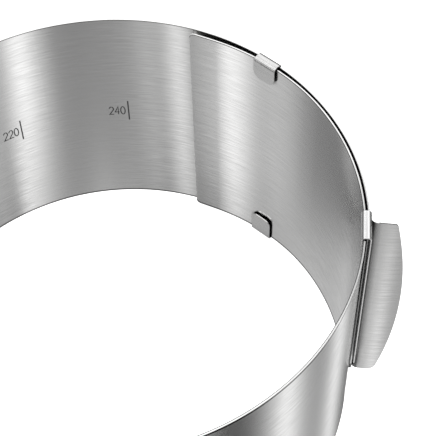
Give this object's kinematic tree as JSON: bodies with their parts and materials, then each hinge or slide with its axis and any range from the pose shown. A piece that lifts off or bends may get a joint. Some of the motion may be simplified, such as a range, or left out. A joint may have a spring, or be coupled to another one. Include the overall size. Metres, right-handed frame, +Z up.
{
  "type": "adjustable cake ring",
  "caption": "Tall adjustable cake ring: a brushed steel band overlapping itself, held by a guide strap and by the hook of a welded grip, with a diameter scale inside.",
  "frame": {"origin": "middle of the footprint, at the underside of the guide strap", "axes": "+Z up along the band height, +X towards the grip side, the longest way across"},
  "size_m": [0.2716, 0.2524, 0.153],
  "materials": {
    "band_steel": "brushed along the band",
    "grip_steel": "brushed across the grip",
    "guide_steel": "brushed along the band"
  },
  "bodies": {
    "handle_end": {"band_01": "band_steel", "grip_handle": "grip_steel"},
    "span_02": {"band_02": "band_steel"},
    "span_03": {"band_03": "band_steel"},
    "span_04": {"band_04": "band_steel"},
    "span_05": {"band_05": "band_steel", "guide_strap": "guide_steel"},
    "span_06": {"band_06": "band_steel"},
    "span_07": {"band_07": "band_steel"},
    "span_08": {"band_08": "band_steel"},
    "span_09": {"band_09": "band_steel"},
    "span_10": {"band_10": "band_steel"},
    "span_11": {"band_11": "band_steel"},
    "span_12": {"band_12": "band_steel"},
    "span_13": {"band_13": "band_steel"},
    "span_14": {"band_14": "band_steel"},
    "span_15": {"band_15": "band_steel"},
    "span_16": {"band_16": "band_steel"},
    "span_17": {"band_17": "band_steel"},
    "span_18": {"band_18": "band_steel"},
    "span_19": {"band_19": "band_steel"},
    "span_20": {"band_20": "band_steel"},
    "span_21": {"band_21": "band_steel"},
    "span_22": {"band_22": "band_steel"},
    "span_23": {"band_23": "band_steel"},
    "span_24": {"band_24": "band_steel"},
    "span_25": {"band_25": "band_steel"},
    "span_26": {"band_26": "band_steel"},
    "span_27": {"band_27": "band_steel"},
    "span_28": {"band_28": "band_steel"},
    "span_29": {"band_29": "band_steel"},
    "span_30": {"band_30": "band_steel"},
    "span_31": {"band_31": "band_steel"},
    "span_32": {"band_32": "band_steel"},
    "span_33": {"band_33": "band_steel"},
    "span_34": {"band_34": "band_steel"},
    "span_35": {"band_35": "band_steel"},
    "span_36": {"band_36": "band_steel"}
  },
  "joints": [
    {"name": "ring_closing", "type": "hinge", "parent": "span_02", "child": "handle_end", "pos_m": [0.11712, -0.00598, 0.0765], "axis": [0, 0, -1], "range_deg": [-0.33, 7.43]},
    {"name": "flex_03", "type": "hinge", "parent": "span_03", "child": "span_02", "pos_m": [0.11541, 0.02042, 0.0765], "axis": [0, 0, -1], "range_deg": [-0.3, 6.6]},
    {"name": "flex_04", "type": "hinge", "parent": "span_04", "child": "span_03", "pos_m": [0.10826, 0.04588, 0.0765], "axis": [0, 0, -1], "range_deg": [-0.3, 6.62]},
    {"name": "flex_05", "type": "hinge", "parent": "span_05", "child": "span_04", "pos_m": [0.09598, 0.06931, 0.0765], "axis": [0, 0, -1], "range_deg": [-0.3, 6.63]},
    {"name": "flex_06", "type": "hinge", "parent": "span_06", "child": "span_05", "pos_m": [0.07911, 0.08968, 0.0765], "axis": [0, 0, -1], "range_deg": [-0.3, 6.64]},
    {"name": "flex_07", "type": "hinge", "parent": "span_07", "child": "span_06", "pos_m": [0.05837, 0.1061, 0.0765], "axis": [0, 0, -1], "range_deg": [-0.3, 6.65]},
    {"name": "flex_08", "type": "hinge", "parent": "span_08", "child": "span_07", "pos_m": [0.03467, 0.11785, 0.0765], "axis": [0, 0, -1], "range_deg": [-0.3, 6.67]},
    {"name": "flex_09", "type": "hinge", "parent": "span_09", "child": "span_08", "pos_m": [0.00905, 0.12442, 0.0765], "axis": [0, 0, -1], "range_deg": [-0.3, 6.68]},
    {"name": "flex_10", "type": "hinge", "parent": "span_10", "child": "span_09", "pos_m": [-0.01738, 0.1255, 0.0765], "axis": [0, 0, -1], "range_deg": [-0.3, 6.69]},
    {"name": "flex_11", "type": "hinge", "parent": "span_11", "child": "span_10", "pos_m": [-0.04346, 0.12106, 0.0765], "axis": [0, 0, -1], "range_deg": [-0.3, 6.71]},
    {"name": "flex_12", "type": "hinge", "parent": "span_12", "child": "span_11", "pos_m": [-0.06803, 0.11128, 0.0765], "axis": [0, 0, -1], "range_deg": [-0.3, 6.72]},
    {"name": "flex_13", "type": "hinge", "parent": "span_13", "child": "span_12", "pos_m": [-0.09003, 0.09659, 0.0765], "axis": [0, 0, -1], "range_deg": [-0.3, 6.73]},
    {"name": "flex_14", "type": "hinge", "parent": "span_14", "child": "span_13", "pos_m": [-0.10848, 0.07763, 0.0765], "axis": [0, 0, -1], "range_deg": [-0.3, 6.74]},
    {"name": "flex_15", "type": "hinge", "parent": "span_15", "child": "span_14", "pos_m": [-0.12257, 0.05525, 0.0765], "axis": [0, 0, -1], "range_deg": [-0.3, 6.76]},
    {"name": "flex_16", "type": "hinge", "parent": "span_16", "child": "span_15", "pos_m": [-0.13167, 0.03041, 0.0765], "axis": [0, 0, -1], "range_deg": [-0.3, 6.77]},
    {"name": "flex_17", "type": "hinge", "parent": "span_17", "child": "span_16", "pos_m": [-0.13537, 0.00422, 0.0765], "axis": [0, 0, -1], "range_deg": [-0.3, 6.78]},
    {"name": "flex_18", "type": "hinge", "parent": "span_18", "child": "span_17", "pos_m": [-0.13351, -0.02217, 0.0765], "axis": [0, 0, -1], "range_deg": [-0.31, 6.8]},
    {"name": "flex_19", "type": "hinge", "parent": "span_18", "child": "span_19", "pos_m": [-0.12618, -0.04758, 0.0765], "axis": [0, 0, 1], "range_deg": [-0.31, 6.81]},
    {"name": "flex_20", "type": "hinge", "parent": "span_19", "child": "span_20", "pos_m": [-0.11369, -0.0709, 0.0765], "axis": [0, 0, 1], "range_deg": [-0.31, 6.82]},
    {"name": "flex_21", "type": "hinge", "parent": "span_20", "child": "span_21", "pos_m": [-0.09658, -0.09108, 0.0765], "axis": [0, 0, 1], "range_deg": [-0.31, 6.84]},
    {"name": "flex_22", "type": "hinge", "parent": "span_21", "child": "span_22", "pos_m": [-0.07563, -0.10722, 0.0765], "axis": [0, 0, 1], "range_deg": [-0.31, 6.85]},
    {"name": "flex_23", "type": "hinge", "parent": "span_22", "child": "span_23", "pos_m": [-0.05176, -0.11861, 0.0765], "axis": [0, 0, 1], "range_deg": [-0.31, 6.86]},
    {"name": "flex_24", "type": "hinge", "parent": "span_23", "child": "span_24", "pos_m": [-0.02603, -0.12474, 0.0765], "axis": [0, 0, 1], "range_deg": [-0.31, 6.88]},
    {"name": "flex_25", "type": "hinge", "parent": "span_24", "child": "span_25", "pos_m": [0.00042, -0.12532, 0.0765], "axis": [0, 0, 1], "range_deg": [-0.31, 6.89]},
    {"name": "flex_26", "type": "hinge", "parent": "span_25", "child": "span_26", "pos_m": [0.02639, -0.12033, 0.0765], "axis": [0, 0, 1], "range_deg": [-0.31, 6.91]},
    {"name": "flex_27", "type": "hinge", "parent": "span_26", "child": "span_27", "pos_m": [0.05074, -0.11, 0.0765], "axis": [0, 0, 1], "range_deg": [-0.31, 6.92]},
    {"name": "flex_28", "type": "hinge", "parent": "span_27", "child": "span_28", "pos_m": [0.07237, -0.09477, 0.0765], "axis": [0, 0, 1], "range_deg": [-0.31, 6.93]},
    {"name": "flex_29", "type": "hinge", "parent": "span_28", "child": "span_29", "pos_m": [0.0903, -0.07533, 0.0765], "axis": [0, 0, 1], "range_deg": [-0.31, 6.95]},
    {"name": "flex_30", "type": "hinge", "parent": "span_29", "child": "span_30", "pos_m": [0.10374, -0.05254, 0.0765], "axis": [0, 0, 1], "range_deg": [-0.31, 6.96]},
    {"name": "flex_31", "type": "hinge", "parent": "span_30", "child": "span_31", "pos_m": [0.11207, -0.02744, 0.0765], "axis": [0, 0, 1], "range_deg": [-0.31, 6.97]},
    {"name": "flex_32", "type": "hinge", "parent": "span_31", "child": "span_32", "pos_m": [0.11492, -0.00114, 0.0765], "axis": [0, 0, 1], "range_deg": [-0.31, 6.99]},
    {"name": "flex_33", "type": "hinge", "parent": "span_32", "child": "span_33", "pos_m": [0.11215, 0.02516, 0.0765], "axis": [0, 0, 1], "range_deg": [-0.32, 7]},
    {"name": "flex_34", "type": "hinge", "parent": "span_33", "child": "span_34", "pos_m": [0.1039, 0.05029, 0.0765], "axis": [0, 0, 1], "range_deg": [-0.32, 7.02]},
    {"name": "flex_35", "type": "hinge", "parent": "span_34", "child": "span_35", "pos_m": [0.09051, 0.07311, 0.0765], "axis": [0, 0, 1], "range_deg": [-0.32, 7.03]},
    {"name": "flex_36", "type": "hinge", "parent": "span_35", "child": "span_36", "pos_m": [0.07261, 0.09257, 0.0765], "axis": [0, 0, 1], "range_deg": [-0.32, 7.05]}
  ],
  "couplings": [
    {"joint": "flex_03", "follows": "ring_closing", "ratio": 0.87122},
    {"joint": "flex_04", "follows": "ring_closing", "ratio": 0.87287},
    {"joint": "flex_05", "follows": "ring_closing", "ratio": 0.87454},
    {"joint": "flex_06", "follows": "ring_closing", "ratio": 0.87621},
    {"joint": "flex_07", "follows": "ring_closing", "ratio": 0.87789},
    {"joint": "flex_08", "follows": "ring_closing", "ratio": 0.87957},
    {"joint": "flex_09", "follows": "ring_closing", "ratio": 0.88126},
    {"joint": "flex_10", "follows": "ring_closing", "ratio": 0.88296},
    {"joint": "flex_11", "follows": "ring_closing", "ratio": 0.88467},
    {"joint": "flex_12", "follows": "ring_closing", "ratio": 0.88638},
    {"joint": "flex_13", "follows": "ring_closing", "ratio": 0.8881},
    {"joint": "flex_14", "follows": "ring_closing", "ratio": 0.88983},
    {"joint": "flex_15", "follows": "ring_closing", "ratio": 0.89156},
    {"joint": "flex_16", "follows": "ring_closing", "ratio": 0.8933},
    {"joint": "flex_17", "follows": "ring_closing", "ratio": 0.89505},
    {"joint": "flex_18", "follows": "ring_closing", "ratio": 0.8968},
    {"joint": "flex_19", "follows": "ring_closing", "ratio": 0.89856},
    {"joint": "flex_20", "follows": "ring_closing", "ratio": 0.90033},
    {"joint": "flex_21", "follows": "ring_closing", "ratio": 0.90211},
    {"joint": "flex_22", "follows": "ring_closing", "ratio": 0.90389},
    {"joint": "flex_23", "follows": "ring_closing", "ratio": 0.90568},
    {"joint": "flex_24", "follows": "ring_closing", "ratio": 0.90748},
    {"joint": "flex_25", "follows": "ring_closing", "ratio": 0.90928},
    {"joint": "flex_26", "follows": "ring_closing", "ratio": 0.9111},
    {"joint": "flex_27", "follows": "ring_closing", "ratio": 0.91292},
    {"joint": "flex_28", "follows": "ring_closing", "ratio": 0.91475},
    {"joint": "flex_29", "follows": "ring_closing", "ratio": 0.91658},
    {"joint": "flex_30", "follows": "ring_closing", "ratio": 0.91843},
    {"joint": "flex_31", "follows": "ring_closing", "ratio": 0.92028},
    {"joint": "flex_32", "follows": "ring_closing", "ratio": 0.92214},
    {"joint": "flex_33", "follows": "ring_closing", "ratio": 0.924},
    {"joint": "flex_34", "follows": "ring_closing", "ratio": 0.92588},
    {"joint": "flex_35", "follows": "ring_closing", "ratio": 0.92776},
    {"joint": "flex_36", "follows": "ring_closing", "ratio": 0.92965}
  ]
}
